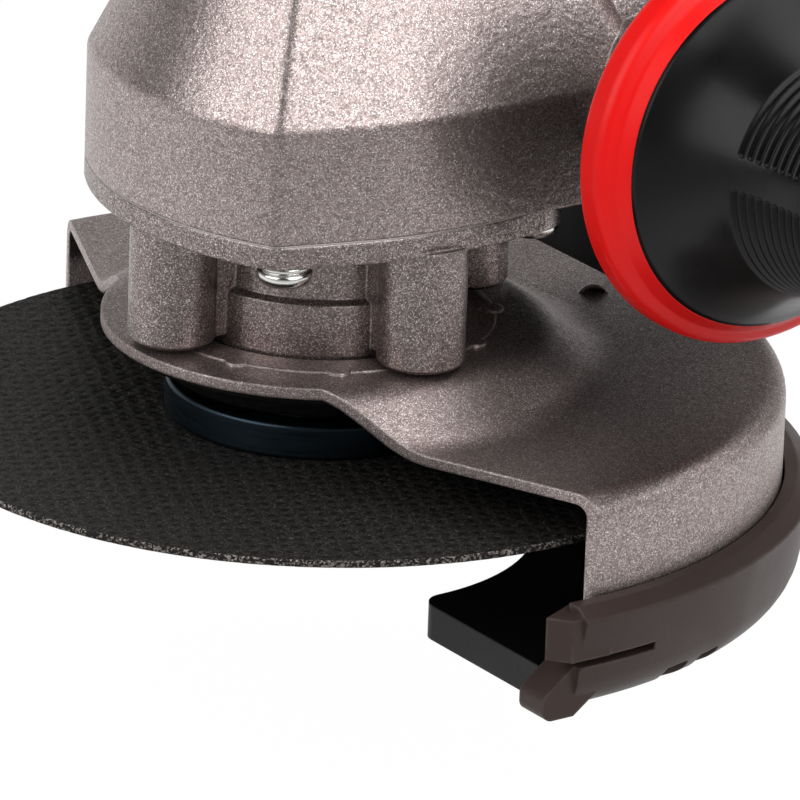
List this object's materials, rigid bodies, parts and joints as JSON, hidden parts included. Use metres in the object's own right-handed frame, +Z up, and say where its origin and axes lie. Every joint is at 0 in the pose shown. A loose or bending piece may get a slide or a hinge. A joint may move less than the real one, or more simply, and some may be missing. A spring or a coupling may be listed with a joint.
{
  "type": "cordless angle grinder",
  "caption": "Cordless angle grinder with a bevel-gear head, cutting disc, turning guard with a clip-on cutting cover, screw-in side handle, slide switch and a slide-on battery.",
  "frame": {"origin": "on the spindle's axis, at the free end of its full-diameter M14 thread", "axes": "+Z up the spindle to the lock button, +X along the tool to the battery, -Y to the side handle"},
  "size_m": [0.3388, 0.2267, 0.108],
  "materials": {
    "cast_paint": "fine metallic powder coat, warm taupe grey",
    "guard_paint": "fine metallic powder coat on pressed steel",
    "abrasive": "resin-bonded grit with a woven glass face",
    "hub_steel": "tinned pressed steel",
    "blackened_steel": "blackened, slightly glossy",
    "machined_steel": "turned and ground",
    "gear_steel": "hardened, oiled",
    "bearing_steel": "ground",
    "bright_screws": "polished zinc",
    "dark_screws": "blackened zinc",
    "spring_steel": "drawn wire",
    "felt": "grey felt",
    "black_plastic": "fine spark texture",
    "casing_plastic": "moulded, fine spark texture, anthracite",
    "soft_grip": "soft, matt",
    "collar_plastic": "satin gloss red",
    "clip_plastic": "moulded, dark taupe",
    "lamination": "stacked sheet",
    "magnet": "nickel plated",
    "copper": "enamelled copper wire",
    "switch_plastic": "moulded",
    "board": "lacquered board",
    "contact": "plated",
    "battery_plastic": "moulded, fine texture",
    "cell_wrap": "shrink wrap"
  },
  "bodies": {
    "tool": {"gear_housing": "cast_paint", "bearing_cover": "cast_paint", "cover_screws": "bright_screws", "tail_bolts": "dark_screws", "spindle_bearing_outer_race": "bearing_steel", "needle_bush": "bearing_steel", "bearing_retainer": "machined_steel", "felt_seal": "felt", "lock_spring": "spring_steel", "front_bearing_outer_race": "bearing_steel", "rear_bearing_outer_race": "bearing_steel", "stator_core": "lamination", "stator_coils": "copper", "fan_baffle": "black_plastic", "left_shell": "casing_plastic", "right_shell": "casing_plastic", "left_grip_pad": "soft_grip", "right_grip_pad": "soft_grip", "shell_screws": "dark_screws", "power_switch": "switch_plastic", "control_board": "board", "terminal_block": "black_plastic"},
    "spindle_set": {"spindle": "machined_steel", "crown_gear": "gear_steel", "gear_clip": "machined_steel", "spindle_bearing_inner_race": "bearing_steel", "inner_flange": "blackened_steel", "cutting_disc": "abrasive", "disc_hub_ring": "hub_steel", "clamp_nut": "blackened_steel"},
    "rotor_set": {"motor_shaft": "machined_steel", "pinion": "gear_steel", "pinion_nut": "gear_steel", "front_bearing_inner_race": "bearing_steel", "rear_bearing_inner_race": "bearing_steel", "rotor_core": "lamination", "rotor_magnets": "magnet", "fan": "black_plastic"},
    "lock": {"lock_button": "black_plastic"},
    "guard": {"guard_shell": "guard_paint", "guard_ring": "guard_paint"},
    "clip_cover": {"cutting_cover": "clip_plastic"},
    "side_handle": {"handle_stud": "machined_steel", "handle_collar": "collar_plastic", "handle_grip": "soft_grip"},
    "switch": {"switch_slider": "collar_plastic", "slider_rod": "black_plastic"},
    "battery": {"battery_case": "battery_plastic", "battery_cover": "battery_plastic", "battery_cells": "cell_wrap", "battery_board": "board", "battery_contacts": "contact"},
    "latch": {"battery_latch": "black_plastic"}
  },
  "joints": [
    {"name": "spindle_spin", "type": "hinge", "parent": "tool", "child": "spindle_set", "pos_m": [0, 0, 0], "axis": [0, 0, 1], "continuous": true},
    {"name": "rotor_spin", "type": "hinge", "parent": "tool", "child": "rotor_set", "pos_m": [0, 0, 0.0605], "axis": [1, 0, 0], "continuous": true},
    {"name": "lock_press", "type": "slide", "parent": "tool", "child": "lock", "axis": [0, 0, -1], "range_m": [0, 0.004], "stiffness_N_per_m": 900, "springref_m": -0.002, "deforming": ["lock_spring"]},
    {"name": "guard_turn", "type": "hinge", "parent": "tool", "child": "guard", "pos_m": [0, 0, 0], "axis": [0, 0, 1], "range_deg": [-90, 90]},
    {"name": "clip_cover_off", "type": "slide", "parent": "guard", "child": "clip_cover", "axis": [0, 0, -1], "range_m": [0, 0.03]},
    {"name": "side_handle_off", "type": "slide", "parent": "tool", "child": "side_handle", "axis": [0, -1, 0], "range_m": [0, 0.03]},
    {"name": "switch_slide", "type": "slide", "parent": "tool", "child": "switch", "axis": [-1, 0, 0], "range_m": [0, 0.007], "stiffness_N_per_m": 600, "springref_m": -0.002},
    {"name": "battery_off", "type": "slide", "parent": "tool", "child": "battery", "axis": [0, 0, 1], "range_m": [0, 0.084]},
    {"name": "latch_press", "type": "slide", "parent": "battery", "child": "latch", "axis": [1, 0, 0], "range_m": [0, 0.003], "stiffness_N_per_m": 1500, "springref_m": -0.001}
  ],
  "couplings": [
    {"joint": "rotor_spin", "follows": "spindle_spin", "ratio": 3.3}
  ]
}
